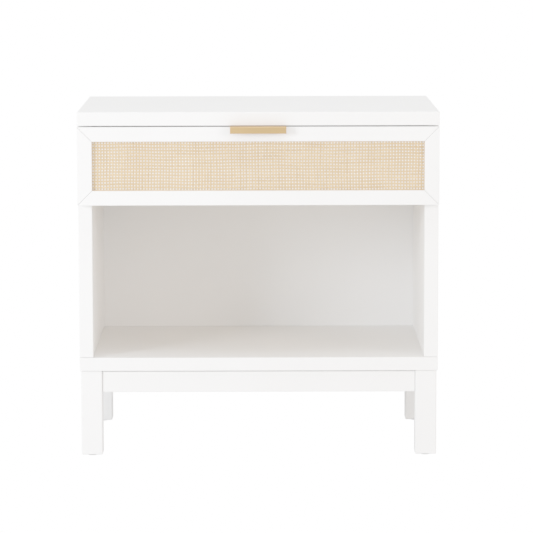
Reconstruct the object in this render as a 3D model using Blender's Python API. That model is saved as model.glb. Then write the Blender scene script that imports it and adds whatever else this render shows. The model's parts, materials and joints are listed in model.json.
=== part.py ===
"""Nightstand with one drawer over an open cubby, on a leg-and-apron base.

Metres, +Z up.  The front faces -Y.  The origin is on the floor, under the middle of the bounding box.
"""

from math import cos, pi, sin, sqrt, tau

import bmesh
import bpy
from mathutils import Matrix, Vector

# ---------------------------------------------------------------- driving dimensions
WIDTH = 0.610
DEPTH = 0.406
HEIGHT = 0.590
BOARD = 0.023  # thickness of the top and bottom panels
SIDE = 0.0235  # thickness of the side panels
LEG_HEIGHT = 0.147
LEG = 0.036  # side of a square leg
LEG_INSET = 0.002  # legs stand back from the bottom panel's edges by this
GLIDE_HEIGHT = 0.002
APRON_HEIGHT = 0.037
APRON_THICK = 0.018
APRON_INSET = 0.0035  # aprons stand back from the legs' outer faces by this
APRON_REVEAL = 0.0015  # shadow gap between the aprons and the bottom panel

FRONT_THICK = 0.019  # the drawer front's frame
FRONT_BOTTOM_Z = 0.4325
FRONT_TOP_Z = 0.565
FRAME_WIDTH = 0.0247  # face width of the frame's rails and stiles
LIP = 0.006  # how far the cane lies behind the frame's face
REBATE = 0.008  # overlap of the frame over the cane and its backing
CANE_THICK = 0.0012
STOP_GAP = 0.0015  # between the closed drawer front and the side panels

DIVIDER_Z = (0.437, 0.452)
BACK_THICK = 0.004
BACK_REBATE = (0.008, 0.006)  # width and depth of the rebate that holds the back panel

BOX_Z = (0.458, 0.548)
BOX_LENGTH = 0.350
BOX_BOARD = 0.012
BOX_BOTTOM_THICK = 0.005
BOX_BOTTOM_Z = 0.468
BOX_GROOVE = 0.006
SLIDE_SPACE = 0.0127  # between a side panel and the drawer box
SLIDE_LENGTH = 0.345

PULL_WIDTH = 0.0945
PULL_PROJECTION = 0.016
PULL_THICK = 0.0014
PULL_DROP = 0.0122
PULL_BEND = 0.0026  # outer radius of the bend

GAP = 0.0003  # between pieces that touch
EASE = 0.0012  # radius of an eased edge

# ---------------------------------------------------------------- derived places
FRONT_Y = -(DEPTH - PULL_PROJECTION) / 2
BACK_Y = FRONT_Y + DEPTH
CARCASS_Y = FRONT_Y + FRONT_THICK + STOP_GAP
TOP_Z = HEIGHT - BOARD  # underside of the top panel
FLOOR_Z = LEG_HEIGHT + BOARD  # floor of the cubby
HALF = WIDTH / 2
INNER_X = HALF - SIDE
BOX_X = INNER_X - SLIDE_SPACE
BOX_Y = FRONT_Y + FRONT_THICK + GAP
BACK_PANEL_Y = BACK_Y - BACK_REBATE[1] + GAP
SIGNS = {"left": -1, "right": 1}
ENDS = {"front": -1, "rear": 1}


# ---------------------------------------------------------------- materials
def material(name, colour, roughness, metallic=0.0):
    made = bpy.data.materials.new(name)
    made.use_nodes = True
    shader = made.node_tree.nodes["Principled BSDF"]
    shader.inputs["Base Color"].default_value = (*colour, 1)
    shader.inputs["Roughness"].default_value = roughness
    shader.inputs["Metallic"].default_value = metallic
    return made


FINISHES = {
    "white_paint": ((0.90, 0.90, 0.89), 0.35, 0.0),
    "white_board": ((0.80, 0.80, 0.79), 0.5, 0.0),
    "cane": ((0.72, 0.55, 0.34), 0.6, 0.0),
    "plywood": ((0.72, 0.58, 0.40), 0.55, 0.0),
    "pine": ((0.70, 0.54, 0.34), 0.7, 0.0),
    "brass": ((0.62, 0.44, 0.22), 0.35, 1.0),
    "zinc_steel": ((0.60, 0.61, 0.62), 0.35, 1.0),
    "nylon": ((0.85, 0.84, 0.80), 0.5, 0.0),
}


# ---------------------------------------------------------------- mesh helpers
def add(name, mesh, finish, parent, location=(0, 0, 0)):
    """Places a mesh whose points are relative to location, with a material of its own."""
    piece = bpy.data.objects.new(name, mesh)
    bpy.context.scene.collection.objects.link(piece)
    piece.location = Vector(location) - parent.location
    piece.parent = parent
    mesh.materials.append(material(name, *FINISHES[finish]))
    return piece


def mesh_from(name, build):
    """A mesh made by build(bmesh), with its faces pointing out."""
    made = bmesh.new()
    build(made)
    bmesh.ops.recalc_face_normals(made, faces=made.faces)
    mesh = bpy.data.meshes.new(name)
    made.to_mesh(mesh)
    made.free()
    return mesh


def ease(piece, width=EASE, segments=2):
    """Rounds a piece's outer corners and leaves its inner ones, such as a rebate's, sharp."""
    made = bmesh.new()
    made.from_mesh(piece.data)
    weight = made.edges.layers.float.new("bevel_weight_edge")
    for edge in made.edges:
        edge[weight] = float(edge.is_convex and edge.calc_face_angle() > pi / 6)
    made.to_mesh(piece.data)
    made.free()
    bevel = piece.modifiers.new("eased_edges", "BEVEL")
    bevel.width = width
    bevel.segments = segments
    bevel.limit_method = "WEIGHT"


def board(name, xs, ys, zs, finish, parent, radius=EASE):
    """A rectangular board that fills the three spans, with eased edges."""
    size = [high - low for low, high in (xs, ys, zs)]
    centre = [(low + high) / 2 for low, high in (xs, ys, zs)]

    def build(made):
        bmesh.ops.create_cube(made, size=1)
        bmesh.ops.scale(made, vec=size, verts=made.verts)

    piece = add(name, mesh_from(name, build), finish, parent, centre)
    if radius:
        ease(piece, radius)
    return piece


def extruded(name, outline, start, length, finish, parent, place):
    """An outline of (a, b) points, put in space by place(a, b, c) and drawn from c = start."""

    def build(made):
        near = [made.verts.new(place(a, b, start)) for a, b in outline]
        face = made.faces.new(near)
        step = Vector(place(0, 0, length)) - Vector(place(0, 0, 0))
        grown = bmesh.ops.extrude_face_region(made, geom=[face])["geom"]
        moved = [item for item in grown if isinstance(item, bmesh.types.BMVert)]
        bmesh.ops.translate(made, vec=step, verts=moved)

    return add(name, mesh_from(name, build), finish, parent)


def turned(name, profile, finish, parent, location, direction, segments=16):
    """A solid of revolution; profile holds (radius, height) points, open at the axis."""

    def build(made):
        points = [made.verts.new((radius, 0, height)) for radius, height in profile]
        edges = [made.edges.new(pair) for pair in zip(points, points[1:])]
        bmesh.ops.spin(
            made,
            geom=points + edges,
            cent=(0, 0, 0),
            axis=(0, 0, 1),
            angle=tau,
            steps=segments,
            use_merge=True,
        )
        bmesh.ops.remove_doubles(made, verts=made.verts, dist=1e-6)
        turn = Vector((0, 0, 1)).rotation_difference(Vector(direction)).to_matrix()
        bmesh.ops.transform(made, matrix=turn.to_4x4(), verts=made.verts)

    mesh = mesh_from(name, build)
    mesh.shade_smooth()
    mesh.set_sharp_from_angle(angle=pi / 6)
    return add(name, mesh, finish, parent, location)


def subtract(piece, name, build):
    """Cuts the closed shape or shapes made by build(bmesh), in world space, out of piece."""
    cutter = bpy.data.objects.new(name, mesh_from(name, build))
    bpy.context.scene.collection.objects.link(cutter)
    cutter.hide_render = True
    cutter.display_type = "WIRE"
    cut = piece.modifiers.new(name, "BOOLEAN")
    cut.operation = "DIFFERENCE"
    cut.solver = "EXACT"
    cut.use_self = True
    cut.object = cutter


def drill(piece, holes, segments=16):
    """holes is a list of (mouth, direction, radius, depth)."""

    def build(made):
        for mouth, direction, radius, depth in holes:
            along = Vector(direction).normalized()
            turn = Vector((0, 0, 1)).rotation_difference(along).to_matrix().to_4x4()
            centre = Vector(mouth) + along * (depth - GAP) / 2
            bmesh.ops.create_cone(
                made,
                cap_ends=True,
                segments=segments,
                radius1=radius,
                radius2=radius,
                depth=depth + GAP,
                matrix=Matrix.Translation(centre) @ turn,
            )

    subtract(piece, piece.name + "_holes", build)


def screw_profile(head_radius, head_height, shank_radius, length):
    """A flat-topped screw whose head's seat is at height 0 and whose tip points along +Z."""
    tip = 2 * shank_radius
    return [
        (0, -head_height),
        (head_radius * 0.75, -head_height),
        (head_radius, -head_height * 0.55),
        (head_radius, 0),
        (shank_radius, 0),
        (shank_radius, length - tip),
        (0, length),
    ]


def empty(name, location=(0, 0, 0)):
    made = bpy.data.objects.new(name, None)
    made.location = location
    bpy.context.scene.collection.objects.link(made)
    return made


# ---------------------------------------------------------------- cabinet
def side_panel(side, parent):
    sign = SIGNS[side]
    width, depth = BACK_REBATE
    outline = [
        (sign * HALF, CARCASS_Y),
        (sign * INNER_X, CARCASS_Y),
        (sign * INNER_X, BACK_Y - depth),
        (sign * (INNER_X + width), BACK_Y - depth),
        (sign * (INNER_X + width), BACK_Y),
        (sign * HALF, BACK_Y),
    ]
    start = FLOOR_Z + GAP
    panel = extruded(
        side + "_side_panel", outline, start, TOP_Z - GAP - start, "white_paint", parent,
        lambda a, b, c: (a, b, c),
    )
    ease(panel)
    return panel


def cabinet(parent):
    """Top, bottom, sides, back and the divider under the drawer, with the side panels' screws."""
    across = (-HALF, HALF)
    board("top_panel", across, (FRONT_Y, BACK_Y), (TOP_Z, HEIGHT), "white_paint", parent)
    bottom = board(
        "bottom_panel", across, (CARCASS_Y, BACK_Y), (LEG_HEIGHT, FLOOR_Z), "white_paint", parent
    )
    back_x = INNER_X + BACK_REBATE[0] - GAP
    board(
        "back_panel",
        (-back_x, back_x),
        (BACK_PANEL_Y, BACK_PANEL_Y + BACK_THICK),
        (FLOOR_Z + GAP, TOP_Z - GAP),
        "white_board",
        parent,
        radius=0,
    )
    board(
        "drawer_divider",
        (-INNER_X + GAP, INNER_X - GAP),
        (CARCASS_Y, BACK_PANEL_Y - GAP),
        DIVIDER_Z,
        "plywood",
        parent,
    )
    sides = {side: side_panel(side, parent) for side in SIGNS}
    panel_screws(bottom, sides, parent)
    return bottom


def panel_screws(bottom, sides, parent):
    """Screws up through the bottom panel into the side panels, their heads sunk in the panel."""
    head_radius, head_height, shank, length = 0.0045, 0.0035, 0.0030, 0.044
    sunk = 0.0008  # how far each head lies inside the panel
    offset = 0.105
    seat_z = LEG_HEIGHT + head_height + sunk
    profile = screw_profile(head_radius, head_height, shank, length)
    holes = []
    for side, sign in SIGNS.items():
        x = sign * (HALF - SIDE / 2)
        side_holes = []
        for end, way in ENDS.items():
            y = way * offset
            name = f"panel_screw_{end}_{side}"
            turned(name, profile, "zinc_steel", parent, (x, y, seat_z), (0, 0, 1), 12)
            holes.append(((x, y, LEG_HEIGHT), (0, 0, 1), head_radius + GAP, seat_z + GAP - LEG_HEIGHT))
            holes.append(((x, y, seat_z), (0, 0, 1), shank + GAP, BOARD))
            depth = seat_z + length - FLOOR_Z + 2 * GAP
            side_holes.append(((x, y, FLOOR_Z + GAP), (0, 0, 1), shank + GAP, depth))
        drill(sides[side], side_holes)
    drill(bottom, holes)


# ---------------------------------------------------------------- base
def base(bottom, parent):
    """Four legs, four aprons, and the corner blocks, bolts and screws that hold them together."""
    outer_x = HALF - LEG_INSET
    front_y = CARCASS_Y + LEG_INSET
    rear_y = BACK_Y - LEG_INSET
    inner_x = outer_x - LEG
    apron_z = (LEG_HEIGHT - APRON_HEIGHT, LEG_HEIGHT - APRON_REVEAL)
    block_z = (apron_z[0] + 0.004, LEG_HEIGHT - 2 * GAP)

    between_x = (-inner_x + GAP, inner_x - GAP)
    between_y = (front_y + LEG + GAP, rear_y - LEG - GAP)
    ys = {
        "front": (front_y + APRON_INSET, front_y + APRON_INSET + APRON_THICK),
        "rear": (rear_y - APRON_INSET - APRON_THICK, rear_y - APRON_INSET),
    }
    for end in ENDS:
        board(end + "_apron", between_x, ys[end], apron_z, "white_paint", parent)
    for side, sign in SIGNS.items():
        faces = sorted(sign * (outer_x - APRON_INSET - inset) for inset in (0, APRON_THICK))
        board(side + "_apron", faces, between_y, apron_z, "white_paint", parent)

    holes = []
    for end, way in ENDS.items():
        for side, sign in SIGNS.items():
            corner = Vector((sign * inner_x, (rear_y - LEG) if way > 0 else (front_y + LEG), 0))
            holes.append(leg_corner(f"{end}_{side}", corner, -sign, -way, block_z, parent))
    drill(bottom, holes, segments=12)


def leg_corner(label, corner, in_x, in_y, block_z, parent):
    """One leg with its glide, corner block, diagonal bolt and upright screw.

    corner is the leg's inner corner, and in_x and in_y are the ways from it to the middle.
    Returns the hole that the screw needs in the bottom panel.
    """

    def spot(u, v, z=0.0):
        return (corner.x + in_x * u, corner.y + in_y * v, z)

    leg_xs = sorted((corner.x, corner.x - in_x * LEG))
    leg_ys = sorted((corner.y, corner.y - in_y * LEG))
    leg_zs = (GLIDE_HEIGHT + GAP, LEG_HEIGHT - GAP)
    leg = board("leg_" + label, leg_xs, leg_ys, leg_zs, "white_paint", parent, radius=0.0018)
    glide_profile = [(0, 0), (0.0085, 0), (0.010, 0.0006), (0.010, GLIDE_HEIGHT), (0, GLIDE_HEIGHT)]
    glide_place = spot(-LEG / 2, -LEG / 2)
    turned("glide_" + label, glide_profile, "nylon", parent, glide_place, (0, 0, 1), 20)

    reach = 0.046
    face = LEG - APRON_INSET - APRON_THICK  # the leg's corner stands this far past the aprons
    outline = [(GAP, GAP - face), (reach, GAP - face), (GAP - face, reach), (GAP - face, GAP), (GAP, GAP)]
    block = extruded(
        "corner_block_" + label, outline, block_z[0], block_z[1] - block_z[0], "pine", parent,
        lambda a, b, c: spot(a, b, c),
    )

    middle_z = sum(block_z) / 2
    half_way = (reach + GAP - face) / 2
    seat = spot(half_way + GAP, half_way + GAP, middle_z)
    outward = Vector((-in_x, -in_y, 0)).normalized()
    bolt_radius, bolt_length = 0.003, 0.045
    profile = screw_profile(0.0065, 0.004, bolt_radius, bolt_length)
    turned("leg_bolt_" + label, profile, "zinc_steel", parent, seat, outward, 12)
    bolt_hole = (seat, outward, bolt_radius + GAP, bolt_length + 2 * GAP)
    drill(leg, [bolt_hole], segments=12)

    screw_radius, screw_length = 0.002, 0.045
    screw_spot = (0.027, -0.006)
    screw_seat = spot(*screw_spot, block_z[0] - GAP)
    profile = screw_profile(0.004, 0.0025, screw_radius, screw_length)
    turned("base_screw_" + label, profile, "zinc_steel", parent, screw_seat, (0, 0, 1), 12)
    screw_hole = (screw_seat, (0, 0, 1), screw_radius + GAP, 0.05)
    drill(block, [bolt_hole, screw_hole], segments=12)

    depth = screw_seat[2] + screw_length + GAP - LEG_HEIGHT
    return (spot(*screw_spot, LEG_HEIGHT), (0, 0, 1), screw_radius + GAP, depth)


# ---------------------------------------------------------------- drawer front
def frame_member(name, length, place, parent):
    """A mitred rail or stile of an L section, whose rebate holds the cane and its backing.

    place(s, u, v) puts a point s along the outer edge, u in from it and v back from the face.
    """
    mitre = GAP / sqrt(2)
    inner = FRAME_WIDTH
    profile = [
        (0, 0),
        (inner, 0),
        (inner, LIP),
        (inner - REBATE, LIP),
        (inner - REBATE, FRONT_THICK),
        (0, FRONT_THICK),
    ]

    def build(made):
        near = [made.verts.new(place(u + mitre, u, v)) for u, v in profile]
        far = [made.verts.new(place(length - u - mitre, u, v)) for u, v in profile]
        made.faces.new(near)
        made.faces.new(reversed(far))
        for i in range(len(profile)):
            j = (i + 1) % len(profile)
            made.faces.new((near[i], far[i], far[j], near[j]))

    member = add(name, mesh_from(name, build), "white_paint", parent)
    ease(member, 0.0007)
    return member


def drawer_front(parent):
    """A mitred frame round a cane panel, which a white board backs."""
    height = FRONT_TOP_Z - FRONT_BOTTOM_Z
    members = {
        "drawer_top_rail": (WIDTH, lambda s, u, v: (s - HALF, FRONT_Y + v, FRONT_TOP_Z - u)),
        "drawer_bottom_rail": (WIDTH, lambda s, u, v: (s - HALF, FRONT_Y + v, FRONT_BOTTOM_Z + u)),
        "drawer_left_stile": (height, lambda s, u, v: (u - HALF, FRONT_Y + v, FRONT_BOTTOM_Z + s)),
        "drawer_right_stile": (height, lambda s, u, v: (HALF - u, FRONT_Y + v, FRONT_BOTTOM_Z + s)),
    }
    made = {name: frame_member(name, length, place, parent) for name, (length, place) in members.items()}

    inset = FRAME_WIDTH - REBATE + GAP
    xs = (-HALF + inset, HALF - inset)
    zs = (FRONT_BOTTOM_Z + inset, FRONT_TOP_Z - inset)
    cane_y = FRONT_Y + LIP + GAP
    board_y = cane_y + CANE_THICK + GAP
    board("cane_panel", xs, (cane_y, cane_y + CANE_THICK), zs, "cane", parent, radius=0)
    backing = board(
        "cane_backing", xs, (board_y, FRONT_Y + FRONT_THICK), zs, "white_board", parent, radius=0
    )
    return made["drawer_top_rail"], backing


def pull_outline():
    """The section of the edge pull as (y, z) points: a plate, a bend and a lip with a round end."""
    plate_top = FRONT_TOP_Z + GAP + PULL_THICK
    face_y = FRONT_Y - PULL_PROJECTION
    bend_y, bend_z = face_y + PULL_BEND, plate_top - PULL_BEND
    end_z = plate_top - PULL_DROP
    tip = PULL_THICK / 2

    def arc(y, z, radius, start, stop, steps):
        turns = [start + (stop - start) * i / steps for i in range(steps + 1)]
        return [(y + radius * cos(turn), z + radius * sin(turn)) for turn in turns]

    rear = FRONT_Y + FRONT_THICK - 0.002
    outer = [(rear, plate_top)] + arc(bend_y, bend_z, PULL_BEND, pi / 2, pi, 5)
    end = arc(face_y + tip, end_z + tip, tip, pi, tau, 6)
    inner = arc(bend_y, bend_z, PULL_BEND - PULL_THICK, pi, pi / 2, 5)
    return outer + end + inner + [(rear, plate_top - PULL_THICK)]


def edge_pull(top_rail, parent):
    """The metal pull that hooks over the drawer front's top edge, with its two screws."""
    pull = extruded(
        "edge_pull", pull_outline(), -PULL_WIDTH / 2, PULL_WIDTH, "brass", parent,
        lambda a, b, c: (c, a, b),
    )
    ease(pull, 0.0003)
    plate_top = FRONT_TOP_Z + GAP + PULL_THICK
    y = FRONT_Y + 0.009
    offset = 0.032
    head, shank, length = 0.0032, 0.0015, 0.012
    sunk, seat, tip = 0.0002, 0.0012, 0.003
    profile = [(0, sunk), (head, sunk), (shank, seat), (shank, length - tip), (0, length)]
    pull_holes, rail_holes = [], []
    for side, sign in SIGNS.items():
        x = sign * offset
        turned(f"pull_screw_{side}", profile, "brass", parent, (x, y, plate_top), (0, 0, -1), 12)
        pull_holes.append(((x, y, plate_top), (0, 0, -1), head + GAP, 0.01))
        rail_holes.append(((x, y, FRONT_TOP_Z), (0, 0, -1), shank + GAP, length))
    drill(pull, pull_holes, segments=12)
    drill(top_rail, rail_holes, segments=12)


# ---------------------------------------------------------------- drawer box and slides
def drawer_box(backing, parent):
    """Four boards grooved for a thin bottom, screwed to the drawer front from inside."""
    rear_y = BOX_Y + BOX_LENGTH
    boards = {}
    for side, sign in SIGNS.items():
        xs = sorted((sign * BOX_X, sign * (BOX_X - BOX_BOARD)))
        ys = (BOX_Y + BOX_BOARD + GAP, rear_y - BOX_BOARD - GAP)
        boards[side] = board(f"drawer_{side}_side", xs, ys, BOX_Z, "plywood", parent)
    across = (-BOX_X, BOX_X)
    boards["front"] = board(
        "drawer_inner_front", across, (BOX_Y, BOX_Y + BOX_BOARD), BOX_Z, "plywood", parent
    )
    boards["back"] = board(
        "drawer_back", across, (rear_y - BOX_BOARD, rear_y), BOX_Z, "plywood", parent
    )

    half_x = BOX_X - BOX_BOARD + BOX_GROOVE
    ys = (BOX_Y + BOX_BOARD - BOX_GROOVE, rear_y - BOX_BOARD + BOX_GROOVE)
    zs = (BOX_BOTTOM_Z, BOX_BOTTOM_Z + BOX_BOTTOM_THICK)
    board("drawer_bottom", (-half_x, half_x), ys, zs, "plywood", parent, radius=0)

    def groove(made):
        size = (2 * half_x + 2 * GAP, ys[1] - ys[0] + 2 * GAP, BOX_BOTTOM_THICK + 2 * GAP)
        bmesh.ops.create_cube(made, size=1)
        bmesh.ops.scale(made, vec=size, verts=made.verts)
        bmesh.ops.translate(made, vec=(0, sum(ys) / 2, sum(zs) / 2), verts=made.verts)

    for piece in boards.values():
        subtract(piece, piece.name + "_groove", groove)
    front_screws(boards["front"], backing, parent)


def front_screws(inner_front, backing, parent):
    """Screws from inside the drawer box, through its front board into the white board behind the cane."""
    shank, length = 0.002, 0.0205
    offset = 0.19
    seat_y = BOX_Y + BOX_BOARD + GAP
    profile = screw_profile(0.004, 0.0022, shank, length)
    holes = []
    for side, sign in SIGNS.items():
        for level, z in (("lower", 0.488), ("upper", 0.528)):
            seat = (sign * offset, seat_y, z)
            turned(f"front_screw_{level}_{side}", profile, "zinc_steel", parent, seat, (0, -1, 0), 12)
            holes.append((seat, (0, -1, 0), shank + GAP, length + 2 * GAP))
    drill(inner_front, holes, segments=12)
    drill(backing, holes, segments=12)


def channel(name, side, web, reach, half_height, wall, parent):
    """A C-section of a telescopic slide.

    web is the web's near face and reach the flanges' tips, both measured from the side panel's
    inner face towards the drawer.
    """
    inward = 1 if reach > web else -1
    sign = SIGNS[side]
    far = web + inward * wall
    outline = [
        (web, half_height),
        (reach, half_height),
        (reach, half_height - wall),
        (far, half_height - wall),
        (far, wall - half_height),
        (reach, wall - half_height),
        (reach, -half_height),
        (web, -half_height),
    ]
    middle_z = sum(BOX_Z) / 2
    return extruded(
        name, outline, BOX_Y + GAP, SLIDE_LENGTH, "zinc_steel", parent,
        lambda a, b, c: (sign * (INNER_X - a), c, middle_z + b),
    )


def slides(cabinet_parent, drawer_parent, middle_parents):
    """Three-member telescopic slides, nested with air for the balls between the members."""
    sections = {  # web, reach, half height, wall
        "cabinet": (GAP, 0.0098, 0.0210, 0.0012),
        "middle": (0.0030, 0.0106, 0.0180, 0.0010),
        "drawer": (SLIDE_SPACE - GAP, 0.0052, 0.0152, 0.0010),
    }
    for side in SIGNS:
        parents = {"cabinet": cabinet_parent, "middle": middle_parents[side], "drawer": drawer_parent}
        for member, section in sections.items():
            channel(f"slide_{member}_member_{side}", side, *section, parents[member])


def bumpers(parent):
    """Soft dots on the back of the drawer front, which meet the side panels when it closes."""
    height = STOP_GAP - 2 * GAP
    profile = [(0, 0), (0.004, 0), (0.004, height * 0.6), (0.003, height), (0, height)]
    for side, sign in SIGNS.items():
        place = (sign * (HALF - SIDE / 2), FRONT_Y + FRONT_THICK + GAP, FRONT_BOTTOM_Z + 0.02)
        turned(f"bumper_{side}", profile, "nylon", parent, place, (0, 1, 0), 16)


# ---------------------------------------------------------------- assembly
def main():
    for item in list(bpy.data.objects):
        bpy.data.objects.remove(item, do_unlink=True)

    middle_z = sum(BOX_Z) / 2
    cabinet_origin = empty("cabinet_origin")
    drawer_origin = empty("drawer_slide_axis", (0, FRONT_Y, middle_z))
    slide_x = INNER_X - SLIDE_SPACE / 2
    middles = {
        side: empty(f"middle_slide_axis_{side}", (sign * slide_x, FRONT_Y, middle_z))
        for side, sign in SIGNS.items()
    }

    bottom = cabinet(cabinet_origin)
    base(bottom, cabinet_origin)
    top_rail, backing = drawer_front(drawer_origin)
    edge_pull(top_rail, drawer_origin)
    drawer_box(backing, drawer_origin)
    slides(cabinet_origin, drawer_origin, middles)
    bumpers(drawer_origin)


main()
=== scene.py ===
"""Looks for the nightstand: camera, studio light, woven cane, pull, screws, slides and brads.

Every piece has a node material.  Metres, +Z up.  The front faces -Y.
"""

import json
import random
from collections import namedtuple
from math import cos, pi, radians, sin, tau

import bmesh
import bpy
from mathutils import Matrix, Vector

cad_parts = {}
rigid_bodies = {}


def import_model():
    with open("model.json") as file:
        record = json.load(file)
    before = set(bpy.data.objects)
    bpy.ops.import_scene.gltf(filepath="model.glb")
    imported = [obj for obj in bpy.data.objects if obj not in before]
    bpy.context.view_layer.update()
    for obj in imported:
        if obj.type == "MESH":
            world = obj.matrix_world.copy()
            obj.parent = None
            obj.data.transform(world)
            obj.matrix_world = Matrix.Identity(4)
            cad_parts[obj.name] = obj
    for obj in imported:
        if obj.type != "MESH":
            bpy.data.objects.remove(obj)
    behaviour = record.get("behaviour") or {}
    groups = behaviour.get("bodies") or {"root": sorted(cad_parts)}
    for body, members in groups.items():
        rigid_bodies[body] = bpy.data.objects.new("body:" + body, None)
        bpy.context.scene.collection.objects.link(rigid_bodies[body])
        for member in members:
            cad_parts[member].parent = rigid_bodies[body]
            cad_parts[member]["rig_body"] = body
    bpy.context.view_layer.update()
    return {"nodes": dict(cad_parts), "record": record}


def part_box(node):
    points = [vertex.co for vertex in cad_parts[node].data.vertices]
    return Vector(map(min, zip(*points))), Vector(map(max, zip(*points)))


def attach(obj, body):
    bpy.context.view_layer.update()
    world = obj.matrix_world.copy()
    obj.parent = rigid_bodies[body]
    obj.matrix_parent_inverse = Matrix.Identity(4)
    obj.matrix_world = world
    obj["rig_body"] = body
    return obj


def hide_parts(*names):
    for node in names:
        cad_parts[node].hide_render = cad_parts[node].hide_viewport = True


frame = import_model()

# ---------------------------------------------------------------- camera
CAMERA_PLACE = (0.0003, -5.3007, 0.9530)
CAMERA_TURN = (-6.973, 0.118, -0.163)  # degrees: pitch from level, roll, heading
CAMERA_LENS = 205.58
SENSOR = 36.0


def make_camera():
    data = bpy.data.cameras.new("camera")
    data.sensor_width = SENSOR
    data.lens = CAMERA_LENS
    camera = bpy.data.objects.new("camera", data)
    pitch, roll, heading = (radians(angle) for angle in CAMERA_TURN)
    camera.location = CAMERA_PLACE
    camera.rotation_euler = (pi / 2 + pitch, roll, heading)
    bpy.context.scene.collection.objects.link(camera)
    bpy.context.scene.camera = camera


# ---------------------------------------------------------------- studio
TONE_GAMMA = 2.3  # a soft tone curve: it lifts the shaded inside, as a studio photograph's does
WHITE = (1, 1, 1, 1)
WORLD_COLOUR = (1.0, 0.986, 0.968, 1)
WORLD_STRENGTH = 0.575
AIM = Vector((0, 0, 0.32))
# name: azimuth from the front (left is negative), elevation, distance, width, height, watts, colour
LIGHTS = {
    "key_left": (-45, 12, 3.0, 0.8, 0.8, 25.5, (0.883, 0.935, 1.0)),
    "key_right": (44, 14, 3.0, 0.7, 0.8, 8.96, (1.0, 0.866, 0.777)),
    "overhead": (0, 80, 3.0, 2.0, 2.0, 19.5, (0.86, 0.93, 1.0)),
}
FLOOR_SIZE = 120
FLOOR_COLOUR = (0.86, 0.86, 0.86, 1)


def make_lights():
    for name, (azimuth, elevation, distance, width, height, watts, colour) in LIGHTS.items():
        data = bpy.data.lights.new(name, "AREA")
        data.shape = "RECTANGLE"
        data.size = width
        data.size_y = height
        data.energy = watts
        data.color = colour
        light = bpy.data.objects.new(name, data)
        around, up = radians(azimuth), radians(elevation)
        back = Vector((sin(around) * cos(up), -cos(around) * cos(up), sin(up)))
        light.location = AIM + back * distance
        light.rotation_euler = back.to_track_quat("Z", "Y").to_euler()
        bpy.context.scene.collection.objects.link(light)


def plain_white_when_seen(tree, shader, white, output):
    """Lights the object through shader, and shows white where the surround itself is in view."""
    ray = tree.nodes.new("ShaderNodeLightPath")
    choice = tree.nodes.new("ShaderNodeMixShader")
    tree.links.new(ray.outputs["Is Camera Ray"], choice.inputs[0])
    tree.links.new(shader.outputs[0], choice.inputs[1])
    tree.links.new(white.outputs[0], choice.inputs[2])
    tree.links.new(choice.outputs[0], output.inputs["Surface"])


def make_world():
    world = bpy.data.worlds.new("studio")
    world.use_nodes = True
    tree = world.node_tree
    light = tree.nodes["Background"]
    light.inputs["Color"].default_value = WORLD_COLOUR
    light.inputs["Strength"].default_value = WORLD_STRENGTH
    white = tree.nodes.new("ShaderNodeBackground")
    white.inputs["Color"].default_value = WHITE
    plain_white_when_seen(tree, light, white, tree.nodes["World Output"])
    scene = bpy.context.scene
    scene.world = world
    scene.view_settings.view_transform = "Standard"
    scene.view_settings.gamma = TONE_GAMMA


def make_floor():
    made = bmesh.new()
    bmesh.ops.create_grid(made, x_segments=8, y_segments=8, size=FLOOR_SIZE / 2)
    mesh = bpy.data.meshes.new("floor")
    made.to_mesh(mesh)
    made.free()
    floor = bpy.data.objects.new("floor", mesh)
    bpy.context.scene.collection.objects.link(floor)
    material = bpy.data.materials.new("floor")
    material.use_nodes = True
    tree = material.node_tree
    shader = tree.nodes["Principled BSDF"]
    shader.inputs["Base Color"].default_value = FLOOR_COLOUR
    shader.inputs["Roughness"].default_value = 1.0
    shader.inputs["Specular IOR Level"].default_value = 0.0
    white = tree.nodes.new("ShaderNodeEmission")
    white.inputs["Color"].default_value = WHITE
    plain_white_when_seen(tree, shader, white, tree.nodes["Material Output"])
    mesh.materials.append(material)


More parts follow.
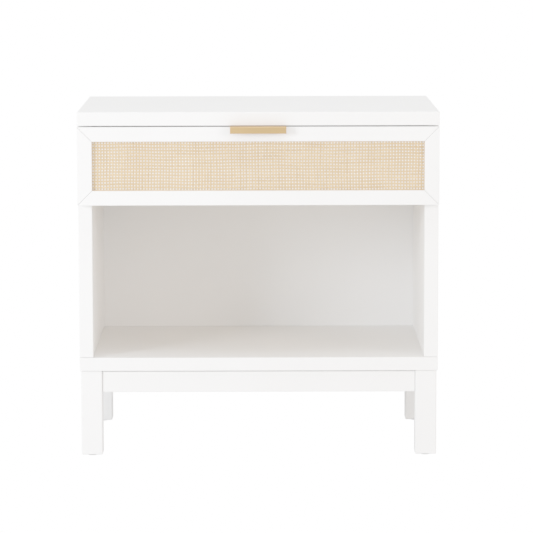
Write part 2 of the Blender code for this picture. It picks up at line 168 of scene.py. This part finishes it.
# ---------------------------------------------------------------- material helpers
class Look:
    """A Principled material and short calls that add nodes to its tree."""

    def __init__(self, name, gloss, metallic=0.0):
        self.material = bpy.data.materials.new(name)
        self.material.use_nodes = True
        self.tree = self.material.node_tree
        self.shader = self.tree.nodes["Principled BSDF"]
        self.shader.inputs["Roughness"].default_value = gloss
        self.shader.inputs["Metallic"].default_value = metallic
        self.place = self.node("ShaderNodeTexCoord").outputs["Object"]

    def node(self, kind, inputs=None, **settings):
        made = self.tree.nodes.new(kind)
        for key, value in settings.items():
            setattr(made, key, value)
        for key, value in (inputs or {}).items():
            if isinstance(value, bpy.types.NodeSocket):
                self.tree.links.new(value, made.inputs[key])
            else:
                made.inputs[key].default_value = value
        return made

    def stretched(self, factors, place=None):
        """The place, scaled by one factor along each axis: a small factor draws a pattern out."""
        inputs = {0: place or self.place, 1: factors}
        return self.node("ShaderNodeVectorMath", inputs, operation="MULTIPLY").outputs[0]

    def noise(self, scale, detail=2.0, place=None, distortion=0.0, rough=0.5):
        inputs = {
            "Vector": place or self.place,
            "Scale": scale,
            "Detail": detail,
            "Roughness": rough,
            "Distortion": distortion,
        }
        return self.node("ShaderNodeTexNoise", inputs).outputs[0]

    def math(self, operation, a, b=0.0, c=0.0):
        inputs = {0: a, 1: b, 2: c}
        return self.node("ShaderNodeMath", inputs, operation=operation).outputs[0]

    def span(self, value, low, high, out_low=0.0, out_high=1.0):
        """value, mapped from low..high to out_low..out_high."""
        inputs = {0: value, 1: low, 2: high, 3: out_low, 4: out_high}
        return self.node("ShaderNodeMapRange", inputs).outputs[0]

    def blend(self, factor, a, b, kind="MIX"):
        """Colour a where factor is 0 and colour b where it is 1."""
        made = self.node("ShaderNodeMix", data_type="RGBA", blend_type=kind)
        for index, value in ((0, factor), (6, a), (7, b)):
            if isinstance(value, bpy.types.NodeSocket):
                self.tree.links.new(value, made.inputs[index])
            elif index:
                made.inputs[index].default_value = (*value, 1)
            else:
                made.inputs[index].default_value = value
        return made.outputs[2]

    def axes(self, vector=None):
        """The x, y and z of a vector, by default of the place."""
        return self.node("ShaderNodeSeparateXYZ", {0: vector or self.place}).outputs

    def colour(self, value):
        self.tree.links.new(value, self.shader.inputs["Base Color"])

    def roughness(self, value):
        self.tree.links.new(value, self.shader.inputs["Roughness"])

    def bump(self, height, strength, distance, after=None):
        inputs = {"Height": height, "Strength": strength, "Distance": distance}
        if after:
            inputs["Normal"] = after
        made = self.node("ShaderNodeBump", inputs).outputs[0]
        self.tree.links.new(made, self.shader.inputs["Normal"])
        return made


# ---------------------------------------------------------------- materials
PAINT = (0.94, 0.93, 0.916)
PAINT_SHADE = (0.926, 0.914, 0.899)
BOARD_SHADE = (0.92, 0.908, 0.892)
# the white board behind the cane, tinted warm: painted warm light, bounced off the cane strands into
# its holes; the second colour is its darker cloud
PAINTED_BOUNCE_BOARD = (0.96, 0.91, 0.835)
PAINTED_BOUNCE_BOARD_CLOUD = (0.94, 0.885, 0.805)
CANE = (0.775, 0.520, 0.248)
CANE_DARK = (0.630, 0.375, 0.145)
BRASS = (0.63, 0.35, 0.115)
ZINC = (0.58, 0.59, 0.61)
NYLON = (0.82, 0.81, 0.78)
BIRCH = ((0.75, 0.60, 0.40), (0.62, 0.45, 0.27))  # light and dark grain
PINE = ((0.73, 0.53, 0.31), (0.54, 0.33, 0.15))
VENEER_PAIR = 0.0029  # thickness of one light and one dark veneer


def lacquer(name, light, shade, gloss):
    """Sprayed paint: a faint cloudiness, and the fine orange peel that a spray gun leaves."""
    look = Look(name, gloss)
    look.shader.inputs["Specular IOR Level"].default_value = 0.3
    look.colour(look.blend(look.span(look.noise(7, 4), 0.35, 0.65), light, shade))
    look.roughness(look.span(look.noise(38, 3), 0.3, 0.7, gloss - 0.05, gloss + 0.06))
    soft = look.bump(look.noise(26, 2), 0.05, 0.0006)
    look.bump(look.noise(520, 2), 0.06, 0.0002, soft)
    return look.material


def cane(name, along):
    """Peeled cane: its tint changes from strand to strand, with fibres and streaks along them."""
    look = Look(name, 0.45)
    fine = [900.0, 900.0, 900.0]
    fine[along] = 30.0
    broad = [200.0, 200.0, 200.0]
    broad[along] = 12.0
    fibre = look.noise(1.0, 3, look.stretched(fine))
    tint = look.noise(1.0, 2, look.stretched(broad))
    colour = look.blend(look.span(tint, 0.3, 0.7), CANE, CANE_DARK)
    streak = look.span(fibre, 0.35, 0.7, 0.92, 1.06)
    grey = look.node("ShaderNodeCombineColor", {0: streak, 1: streak, 2: streak}).outputs[0]
    look.colour(look.blend(1.0, colour, grey, "MULTIPLY"))
    look.roughness(look.span(fibre, 0.3, 0.7, 0.38, 0.55))
    look.bump(fibre, 0.3, 0.0001)
    return look.material


def brushed(name, colour, along, gloss, depth=0.15):
    """Metal brushed along one axis: long fine scratches vary its gloss and relief."""
    look = Look(name, gloss, 1.0)
    fine = [2600.0, 2600.0, 2600.0]
    fine[along] = 22.0
    scratch = look.noise(1.0, 3, look.stretched(fine))
    cloud = look.noise(60, 2)
    dull = [part * 0.86 for part in colour]
    look.colour(look.blend(look.span(scratch, 0.3, 0.7), colour, dull))
    gloss_here = look.span(scratch, 0.3, 0.7, gloss - 0.07, gloss + 0.08)
    look.roughness(look.math("ADD", gloss_here, look.span(cloud, 0.3, 0.7, -0.02, 0.02)))
    look.bump(scratch, depth, 0.00006)
    return look.material


def plain_plastic(name, colour, gloss):
    """Moulded plastic with a fine matte grain."""
    look = Look(name, gloss)
    darker = [part * 0.94 for part in colour]
    look.colour(look.blend(look.span(look.noise(220, 3), 0.3, 0.7), colour, darker))
    look.roughness(look.span(look.noise(900, 2), 0.3, 0.7, gloss - 0.05, gloss + 0.08))
    look.bump(look.noise(1600, 2), 0.1, 0.0001)
    return look.material


def wood(name, light, dark, along, plies=None, gloss=0.5):
    """Wood whose grain runs along one axis; plies is the axis through plywood, whose edges show."""
    look = Look(name, gloss)
    grain_scale = [70.0, 70.0, 70.0]
    grain_scale[along] = 5.0
    grain = look.noise(1.0, 5, look.stretched(grain_scale), 0.6, 0.55)
    pore_scale = [1500.0, 1500.0, 1500.0]
    pore_scale[along] = 40.0
    pores = look.noise(1.0, 3, look.stretched(pore_scale))
    colour = look.blend(look.span(grain, 0.32, 0.68), light, dark)
    pore_tint = look.span(pores, 0.35, 0.65, 0.93, 1.04)
    grey = look.node("ShaderNodeCombineColor", {0: pore_tint, 1: pore_tint, 2: pore_tint}).outputs[0]
    colour = look.blend(1.0, colour, grey, "MULTIPLY")
    if plies is not None:
        normal = look.axes(look.node("ShaderNodeTexCoord").outputs["Normal"])
        edge = look.math("LESS_THAN", look.math("ABSOLUTE", normal[plies]), 0.6)
        layer = look.math("SINE", look.math("MULTIPLY", look.axes()[plies], tau / VENEER_PAIR))
        pale = [part * 1.06 for part in light]
        deep = [part * 0.66 for part in dark]
        veneer = look.blend(look.span(layer, -0.25, 0.25), pale, deep)
        colour = look.blend(edge, colour, look.blend(1.0, veneer, grey, "MULTIPLY"))
    look.colour(colour)
    look.roughness(look.span(pores, 0.3, 0.7, gloss - 0.06, gloss + 0.1))
    look.bump(pores, 0.12, 0.0001)
    return look.material


# ---------------------------------------------------------------- assigning materials
def paint_nodes():
    """Gives every CAD node its material, and returns the materials by slot."""
    materials = {
        "white_paint": lacquer("white_lacquer", PAINT, PAINT_SHADE, 0.48),
        "white_board": lacquer("white_board", PAINT, BOARD_SHADE, 0.5),
        "cane": cane("cane", 2),
        "plywood": wood("birch_ply_sides", *BIRCH, along=1, plies=0),
        "pine": wood("pine", *PINE, along=2),
        "brass": brushed("brushed_brass", BRASS, 0, 0.40),
        "zinc_steel": brushed("zinc_plate", ZINC, 1, 0.32, 0.08),
        "nylon": plain_plastic("nylon", NYLON, 0.5),
    }
    # plywood whose grain or plies run another way than its slot's, and the board behind the cane, whose
    # warm tint is painted light
    special = {
        "drawer_inner_front": wood("birch_ply_front", *BIRCH, along=0, plies=1),
        "drawer_bottom": wood("birch_ply_bottom", *BIRCH, along=0),
        "drawer_divider": wood("birch_ply_divider", *BIRCH, along=0, plies=2),
    }
    special["drawer_back"] = special["drawer_inner_front"]
    # white board tinted warm, as painted light bounced off the cane into its holes
    special["cane_backing"] = lacquer("painted_bounce_board", PAINTED_BOUNCE_BOARD, PAINTED_BOUNCE_BOARD_CLOUD, 0.55)
    slots = {row["node"]: row["material_slot"] for row in frame["record"]["subparts"]}
    for name, piece in frame["nodes"].items():
        piece.data.materials.clear()
        piece.data.materials.append(special.get(name) or materials[slots[name]])
    return materials


# ---------------------------------------------------------------- mesh helpers
def tube_mesh(name, tubes, sharp=None):
    """One mesh of closed tubes. A tube is a list of rings with equal numbers of points.

    sharp is the angle between faces above which an edge stays sharp; None smooths them all.
    """
    verts, faces = [], []
    for rings in tubes:
        base, count = len(verts), len(rings[0])
        for ring in rings:
            verts.extend(ring)
        for row in range(len(rings) - 1):
            here = base + row * count
            for i in range(count):
                j = (i + 1) % count
                faces.append((here + i, here + j, here + count + j, here + count + i))
        faces.append([base + i for i in reversed(range(count))])
        faces.append([len(verts) - count + i for i in range(count)])
    mesh = bpy.data.meshes.new(name)
    mesh.from_pydata(verts, [], faces)
    made = bmesh.new()
    made.from_mesh(mesh)
    bmesh.ops.recalc_face_normals(made, faces=made.faces)
    made.to_mesh(mesh)
    made.free()
    mesh.shade_smooth()
    if sharp is not None:
        mesh.set_sharp_from_angle(angle=sharp)
    return mesh


def show(name, mesh, material, body, nodes=(), place=(0, 0, 0), towards=(0, 0, 1)):
    """Adds a piece with its +Z turned towards a direction; nodes are the CAD nodes it stands for."""
    if not mesh.materials:
        mesh.materials.append(material)
    piece = bpy.data.objects.new(name, mesh)
    bpy.context.scene.collection.objects.link(piece)
    turn = Vector((0, 0, 1)).rotation_difference(Vector(towards))
    piece.location = place
    piece.rotation_euler = turn.to_euler()
    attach(piece, body)
    if nodes:
        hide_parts(*nodes)
    return piece


# ---------------------------------------------------------------- woven cane
CELL_X = 0.0050
CELL_Z = 0.0052
STRAND_WIDTH = 0.0027
STRAND_THICK = 0.0004
WEAVE_DEPTH = 0.0002  # how far a strand's middle swings forward and back
WEAVE_GAP = 0.00005  # air between the hindmost strands and the board behind them
STEPS_PER_CELL = 4


def drift(x, z):
    """How far hand weaving leaves a crossing from its place in the grid, in waves of up to 0.7 mm."""
    along = 0.00045 * sin(tau * x / 0.23 + 1.1) + 0.00025 * sin(tau * (x + z) / 0.074)
    across = 0.00035 * sin(tau * z / 0.09 + 12 * x) + 0.0002 * sin(tau * x / 0.061 + 0.7)
    return across, along


def strand(points, across, widths):
    """The rings of one strand, which has a domed front."""
    section = [(-0.5, -0.1), (-0.33, 0.32), (0.0, 0.5), (0.33, 0.32), (0.5, -0.1), (0.0, -0.5)]
    return [
        [point + across * (side * width) + Vector((0, -out * STRAND_THICK, 0)) for side, out in section]
        for point, width in zip(points, widths)
    ]


def weave():
    """Square-woven cane, one piece for the upright strands and one for the level ones."""
    random.seed(4)
    low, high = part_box("cane_panel")
    columns = round((high.x - low.x) / CELL_X)
    rows = round((high.z - low.z) / CELL_Z)
    step_x = (high.x - low.x) / columns
    step_z = (high.z - low.z) / rows
    board_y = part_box("cane_backing")[0].y
    middle_y = board_y - WEAVE_GAP - STRAND_THICK / 2 - WEAVE_DEPTH
    margin = STRAND_WIDTH / 2

    def point(u, v, over):
        """The place at column u and row v, counted in cells from the lower left corner."""
        x, z = low.x + u * step_x, low.z + v * step_z
        across, along = drift(x, z)
        x = min(max(x + across, low.x + margin), high.x - margin)
        z = min(max(z + along, low.z + margin), high.z - margin)
        return Vector((x, middle_y - over * WEAVE_DEPTH, z))

    def wobble():
        """A strand's own width, as a function of the cells along it."""
        phase, wide = random.uniform(0, tau), random.uniform(0.93, 1.07)
        return lambda t: STRAND_WIDTH * wide * (1 + 0.05 * sin(t * 0.37 + phase))

    uprights, levels = [], []
    for column in range(columns):
        width = wobble()
        steps = [k / STEPS_PER_CELL for k in range(rows * STEPS_PER_CELL + 1)]
        points = [point(column + 0.5, v, sin(pi * v) * (-1) ** column) for v in steps]
        uprights.append(strand(points, Vector((1, 0, 0)), [width(v) for v in steps]))
    for row in range(rows):
        width = wobble()
        steps = [k / STEPS_PER_CELL for k in range(columns * STEPS_PER_CELL + 1)]
        points = [point(u, row + 0.5, -sin(pi * u) * (-1) ** row) for u in steps]
        levels.append(strand(points, Vector((0, 0, 1)), [width(u) for u in steps]))
    for name, tubes, along in (("cane_uprights", uprights, 2), ("cane_levels", levels, 0)):
        show(name, tube_mesh(name, tubes), cane(name, along), "drawer", ["cane_panel"])


# ---------------------------------------------------------------- edge pull
PLATE_DROP = 0.0007  # how far the plate's top lies below the CAD plate's, which is thicker
PULL_SCREW_DROP = 0.0004  # the same for its screws, whose heads then stand 0.1 mm out of the plate


def pull_piece(brass):
    """The pull: a plate under the top panel's edge, a tight bend and a lip with a round end."""
    low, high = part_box("edge_pull")
    thick = 0.0009
    bend = 0.0015  # radius outside the bend
    top = high.z - PLATE_DROP
    bend_steps = 10
    eased = 0.0003  # the ends' rounding
    ease_steps = 4
    tip = thick / 2

    def arc(y, z, radius, start, stop, steps):
        turns = [start + (stop - start) * i / steps for i in range(steps + 1)]
        return [(y + radius * cos(turn), z + radius * sin(turn)) for turn in turns]

    bend_y, bend_z = low.y + bend, top - bend
    outer = [(high.y, top)] + arc(bend_y, bend_z, bend, pi / 2, pi, bend_steps)
    end = arc(low.y + tip, low.z + tip, tip, pi, tau, bend_steps)
    inner = arc(bend_y, bend_z, bend - thick, pi, pi / 2, bend_steps) + [(high.y, top - thick)]
    outline = outer + end + inner

    def ring(x, inset):
        """The outline at x, drawn in by inset towards the metal's middle."""
        points = []
        for i, (y, z) in enumerate(outline):
            before, after = outline[i - 1], outline[(i + 1) % len(outline)]
            edge = Vector((after[0] - before[0], after[1] - before[1])).normalized()
            points.append(Vector((x, y - edge.y * inset, z + edge.x * inset)))
        return points

    turns = [pi / 2 * step / ease_steps for step in range(ease_steps + 1)]
    side = [(high.x - eased * (1 - cos(turn)), eased * (1 - sin(turn))) for turn in turns]
    rings = [ring(-x, inset) for x, inset in side] + [ring(x, inset) for x, inset in reversed(side)]
    mesh = tube_mesh("brass_pull", [rings], radians(40))
    show("brass_pull", mesh, brass, "drawer", ["edge_pull"])


# ---------------------------------------------------------------- fasteners
ROUND = 24  # points around a screw
NECK = 0.0001  # a short step between two rings, which keeps the edge there crisp
OVERCUT = 0.0002  # how far a cutter stands out of what it cuts
Screw = namedtuple("Screw", "tip, head_radius, head_height, shank_radius, pitch, head")
SCREWS = {  # a tip of None points out towards the leg
    "panel_screw": Screw((0, 0, 1), 0.0045, 0.0035, 0.0030, 0.0022, "flat"),
    "base_screw": Screw((0, 0, 1), 0.0040, 0.0025, 0.0020, 0.0016, "pan"),
    "front_screw": Screw((0, -1, 0), 0.0040, 0.0022, 0.0020, 0.0016, "pan"),
    "leg_bolt": Screw(None, 0.0065, 0.0040, 0.0030, 0.0010, "hex"),
    "pull_screw": Screw((0, 0, -1), 0.0029, 0.0010, 0.0013, 0.0008, "countersunk"),
}
HEADS = {  # rings of each head, as (share of the height above the seat, share of the radius)
    "flat": [(1.0, 0.86), (0.94, 0.96), (0.8, 1.0), (0.12, 1.0), (0.0, 0.94)],
    "pan": [(1.0, 0.5), (0.93, 0.72), (0.75, 0.9), (0.5, 0.99), (0.12, 1.0), (0.0, 0.95)],
    "countersunk": [(1.0, 0.94), (0.94, 1.0), (0.0, 0.45)],
}


def circle(radius, z, count=ROUND):
    """The points of a level circle round the Z axis."""
    turns = [tau * i / count for i in range(count)]
    return [Vector((radius * cos(turn), radius * sin(turn), z)) for turn in turns]


def hexagon(radius, z):
    """A hexagon with as many points as a circle; radius reaches its corners."""
    points = []
    for i in range(ROUND):
        turn = tau * i / ROUND
        reach = radius * cos(pi / 6) / cos(turn % (pi / 3) - pi / 6)
        points.append(Vector((reach * cos(turn), reach * sin(turn), z)))
    return points


def thread(radius, pitch, start, end):
    """Rings of a sharp ridge that winds round a shank, tapering over the last few turns."""
    depth = min(0.3 * pitch, 0.2 * radius)
    steps = round((end - start) / (pitch / 4))
    rings = []
    for step in range(steps + 1):
        z = start + (end - start) * step / steps
        taper = min(1.0, (end - z) / (2 * radius) + 0.12)
        ring = []
        for i in range(ROUND):
            phase = (z / pitch - i / ROUND) % 1
            ridge = max(0.0, 1 - abs(phase - 0.5) * 4)
            reach = (radius - depth * (1 - ridge)) * taper
            turn = tau * i / ROUND
            ring.append(Vector((reach * cos(turn), reach * sin(turn), z)))
        rings.append(ring)
    return rings


def cross(half_length, half_width, top, depth):
    """The tapered cross that a driver's tip fills."""
    a, b = half_length, half_width
    corner = [(a, b), (b, b), (b, a), (-b, a), (-b, b), (-a, b)]
    outline = corner + [(-x, -y) for x, y in corner]
    ends = ((top, 1.0), (top + depth, 0.5))
    rings = [[Vector((x * share, y * share, z)) for x, y in outline] for z, share in ends]
    return tube_mesh("cross", [rings])


def recess(reach, radius, height):
    """The cutter of a driver's recess in a head; reach is a share of the head's radius."""
    return cross(reach * radius, 0.13 * radius, -height - OVERCUT, 0.6 * height + OVERCUT)


def cut(mesh, cutter):
    """The mesh less the closed cutter."""
    whole = bpy.data.objects.new("whole", mesh)
    tool = bpy.data.objects.new("tool", cutter)
    for item in (whole, tool):
        bpy.context.scene.collection.objects.link(item)
    change = whole.modifiers.new("cut", "BOOLEAN")
    change.operation = "DIFFERENCE"
    change.object = tool
    view = whole.evaluated_get(bpy.context.evaluated_depsgraph_get())
    made = bpy.data.meshes.new_from_object(view)
    for item in (whole, tool):
        bpy.data.objects.remove(item)
    return made


def screw_mesh(kind, length):
    """A screw with its seat at the origin and its tip along +Z."""
    screw = SCREWS[kind]
    radius, height = screw.head_radius, screw.head_height
    plain = 0.25 * (length - height)
    if screw.head == "hex":
        washer = 0.25 * height
        rings = [hexagon(0.80 * radius, -height), hexagon(0.86 * radius, -0.92 * height)]
        rings += [hexagon(0.86 * radius, -washer), circle(0.97 * radius, -washer)]
        rings += [circle(radius, -0.7 * washer), circle(radius, 0)]
    else:
        rings = [circle(radius * share, -height * up) for up, share in HEADS[screw.head]]
    rings += [circle(screw.shank_radius, NECK), circle(screw.shank_radius, plain)]
    rings += thread(screw.shank_radius, screw.pitch, plain + 2 * NECK, length - height)
    mesh = tube_mesh(kind, [rings], radians(35))
    if screw.head != "hex":
        mesh = cut(mesh, recess(0.55, radius, height))
    return mesh


def screws(zinc, brass):
    """Threaded screws and bolts, where the CAD model has plain ones."""
    meshes = {}
    for node in sorted(frame["nodes"]):
        kind = next((kind for kind in SCREWS if node.startswith(kind)), None)
        if kind is None:
            continue
        low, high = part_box(node)
        middle = (low + high) / 2
        outwards = (1 if "right" in node else -1, 1 if "rear" in node else -1, 0)
        towards = Vector(SCREWS[kind].tip or outwards).normalized()
        reach = [vert.co.dot(towards) for vert in frame["nodes"][node].data.vertices]
        seat = middle + towards * (min(reach) + SCREWS[kind].head_height - middle.dot(towards))
        if kind == "pull_screw":
            seat.z -= PULL_SCREW_DROP
        if kind not in meshes:
            meshes[kind] = screw_mesh(kind, max(reach) - min(reach))
        metal, slot = (brass, "brass") if kind == "pull_screw" else (zinc, "zinc_steel")
        body = frame["nodes"][node]["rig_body"]
        show(node + "_threaded", meshes[kind], metal, body, [node], seat, towards)


# ---------------------------------------------------------------- drawer slides
WALL = {"cabinet": 0.0012, "drawer": 0.0010, "middle": 0.0010}  # sheet thickness of each member
SLOT_SHARES = (0.14, 0.36, 0.64, 0.88)  # where the slots' middles lie along a member
SLOT_LENGTH = 0.014
SLOT_HEIGHT = 0.0046
SLOT_THROUGH = 0.03  # along X, more than any member measures there
SLOT_STEPS = 8  # straight edges in each round end
SCREW_FROM_SLOT = 0.028  # from a slot's middle to the screw beside it
SLIDE_SCREW_RADIUS = 0.0036
SLIDE_SCREW_HEIGHT = 0.0012
BALL_GAP = 0.0001
BALL_PITCH = 0.012
BALL_POINTS = 10
BALL_STEPS = 6
POLE = 0.06  # share of the half turn, from pole to pole, that each flat end of a ball takes
RACE_FROM_MIDDLE = 0.012  # from the middle of the middle member to the nearest ball
RACE_FROM_END = 0.006  # from its end to the nearest ball
CAGE_CLEAR = 0.0014  # kept free on each side of the cage, of the members' common width
CAGE_HALF = 0.0002  # half the cage's thickness
CAGE_PAST = 0.003  # how far a cage runs past its last ball


def slot_cutter(middle, length, height, through):
    """A round-ended slot along Y, cut right through along X."""
    radius = height / 2
    half = length / 2 - radius
    outline = []
    for sign in (1, -1):
        for step in range(SLOT_STEPS + 1):
            turn = pi * step / SLOT_STEPS - pi / 2
            outline.append((sign * (half + radius * cos(turn)), sign * radius * sin(turn)))
    return [[middle + Vector((x, y, z)) for y, z in outline] for x in (-through / 2, through / 2)]


def slides(zinc):
    """The slides' members with their slots, the screws that hold them, and the ball cages."""
    heads = {}
    for side, sign in (("left", -1), ("right", 1)):
        boxes = {member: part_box(f"slide_{member}_member_{side}") for member in WALL}
        for member in WALL:
            node = f"slide_{member}_member_{side}"
            low, high = boxes[member]
            middle = (low + high) / 2
            length = high.y - low.y
            places = [low.y + share * length for share in SLOT_SHARES]
            middles = [Vector((middle.x, y, middle.z)) for y in places]
            cutters = [slot_cutter(spot, SLOT_LENGTH, SLOT_HEIGHT, SLOT_THROUGH) for spot in middles]
            mesh = cut(frame["nodes"][node].data.copy(), tube_mesh("slots", cutters))
            mesh.materials.clear()
            body = f"slide_middle_{side}" if member == "middle" else member
            show(f"slide_{member}_rail_{side}", mesh, zinc, body, [node])
            if member == "middle":
                continue
            # the web lies against the side panel or the drawer's side, and the heads face away from it
            facing = -sign if member == "cabinet" else sign
            web = (low.x if facing > 0 else high.x) + facing * WALL[member]
            beside = ((0, SCREW_FROM_SLOT), (1, SCREW_FROM_SLOT), (3, -SCREW_FROM_SLOT))
            for number, (index, shift) in enumerate(beside):
                place = Vector((web, places[index] + shift, middle.z))
                if member not in heads:
                    heads[member] = screw_head(SLIDE_SCREW_RADIUS, SLIDE_SCREW_HEIGHT)
                name = f"slide_screw_{member}_{side}_{number}"
                show(name, heads[member], zinc, body, (), place, (-facing, 0, 0))
        ball_cages(side, boxes, zinc)


def screw_head(radius, height):
    """A pan head with a cross recess, its seat at the origin and facing -Z."""
    rings = [circle(radius * share, -height * up) for up, share in HEADS["pan"]]
    return cut(tube_mesh("slide_screw", [rings], radians(35)), recess(0.5, radius, height))


def ball(place, radius):
    """The rings of a ball, from one flattened pole to the other."""
    turns = [pi * (POLE + (1 - 2 * POLE) * step / BALL_STEPS) for step in range(BALL_STEPS + 1)]
    rings = [circle(radius * sin(turn), radius * cos(turn), BALL_POINTS) for turn in turns]
    return [[place + point for point in ring] for ring in rings]


def ball_cages(side, boxes, zinc):
    """Two pairs of ball rows: between cabinet and middle member, and between middle and drawer."""
    outer, middle, inner = (boxes[member] for member in ("cabinet", "middle", "drawer"))
    start, end = middle[0].y, middle[1].y
    half = (start + end) / 2
    rear = (half + RACE_FROM_MIDDLE, end - RACE_FROM_END)
    front = (start + RACE_FROM_END, half - RACE_FROM_MIDDLE)
    races = {
        # flanges above and below the balls, the members whose common width they take, their stretch
        "outer": (outer[1].z - WALL["cabinet"], middle[1].z, outer, middle, rear),
        "inner": (middle[1].z - WALL["middle"], inner[1].z, middle, inner, front),
    }
    centre_z = (middle[0].z + middle[1].z) / 2
    for race, (above, below, one, other, (first, last)) in races.items():
        x0 = max(one[0].x, other[0].x) + CAGE_CLEAR
        x1 = min(one[1].x, other[1].x) - CAGE_CLEAR
        x = (x0 + x1) / 2
        radius = (above - below) / 2 - BALL_GAP
        lift = (above + below) / 2 - centre_z
        count = round((last - first) / BALL_PITCH)
        strip = [(x0, -CAGE_HALF), (x1, -CAGE_HALF), (x1, CAGE_HALF), (x0, CAGE_HALF)]
        ends = (first - CAGE_PAST, last + CAGE_PAST)
        balls, cage = [], []
        for way in (-1, 1):
            z = centre_z + way * lift
            places = [Vector((x, first + (last - first) * i / count, z)) for i in range(count + 1)]
            balls += [ball(place, radius) for place in places]
            cage.append([[Vector((side_x, y, z + rise)) for side_x, rise in strip] for y in ends])
        body = f"slide_middle_{side}"
        show(f"slide_{race}_balls_{side}", tube_mesh("balls", balls), zinc, body)
        show(f"slide_{race}_cage_{side}", tube_mesh("cage", cage, radians(30)), zinc, body)


# ---------------------------------------------------------------- back panel's brads
BRAD_RADIUS = 0.0019
BRAD_HEIGHT = 0.0004
BRAD_DEPTH = 0.003  # how far the brad's shape reaches into the panel
BRAD_POINTS = 16
BRAD_PROFILE = [  # radius, and how far out of the panel
    (BRAD_RADIUS, -BRAD_DEPTH),
    (BRAD_RADIUS, 0.3 * BRAD_HEIGHT),
    (0.8 * BRAD_RADIUS, 0.75 * BRAD_HEIGHT),
    (0.4 * BRAD_RADIUS, BRAD_HEIGHT),
]
SIDE_PITCH = 0.06  # about this far between brads along the side panels
SIDE_MARGIN = 0.03  # from the back panel's ends to the nearest of them
DIVIDER_PITCH = 0.1  # and along the divider


def brad(x, y, z):
    """The rings of a brad in a panel whose face is at y, with its low domed head towards +Y."""
    turns = [tau * k / BRAD_POINTS for k in range(BRAD_POINTS)]
    return [
        [Vector((x + reach * cos(turn), y + out, z + reach * sin(turn))) for turn in turns]
        for reach, out in BRAD_PROFILE
    ]


def brads(zinc):
    """The brads that hold the back panel to the sides and the divider."""
    low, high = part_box("back_panel")
    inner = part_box("left_side_panel")[1].x
    edge = (low.x + inner) / 2
    divider_low, divider_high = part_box("drawer_divider")
    divider_z = (divider_low.z + divider_high.z) / 2
    span = high.z - low.z - 2 * SIDE_MARGIN
    count = round(span / SIDE_PITCH)
    heights = [low.z + SIDE_MARGIN + span * i / count for i in range(count + 1)]
    spots = [(sign * edge, z) for sign in (-1, 1) for z in heights]
    count = round(-2 * edge / DIVIDER_PITCH)
    spots += [(edge - 2 * edge * i / count, divider_z) for i in range(1, count)]
    tubes = [brad(x, high.y, z) for x, z in spots]
    show("back_brads", tube_mesh("back_brads", tubes, radians(50)), zinc, "cabinet")


make_camera()
make_world()
make_lights()
make_floor()
metals = paint_nodes()
weave()
pull_piece(metals["brass"])
screws(metals["zinc_steel"], metals["brass"])
slides(metals["zinc_steel"])
brads(metals["zinc_steel"])
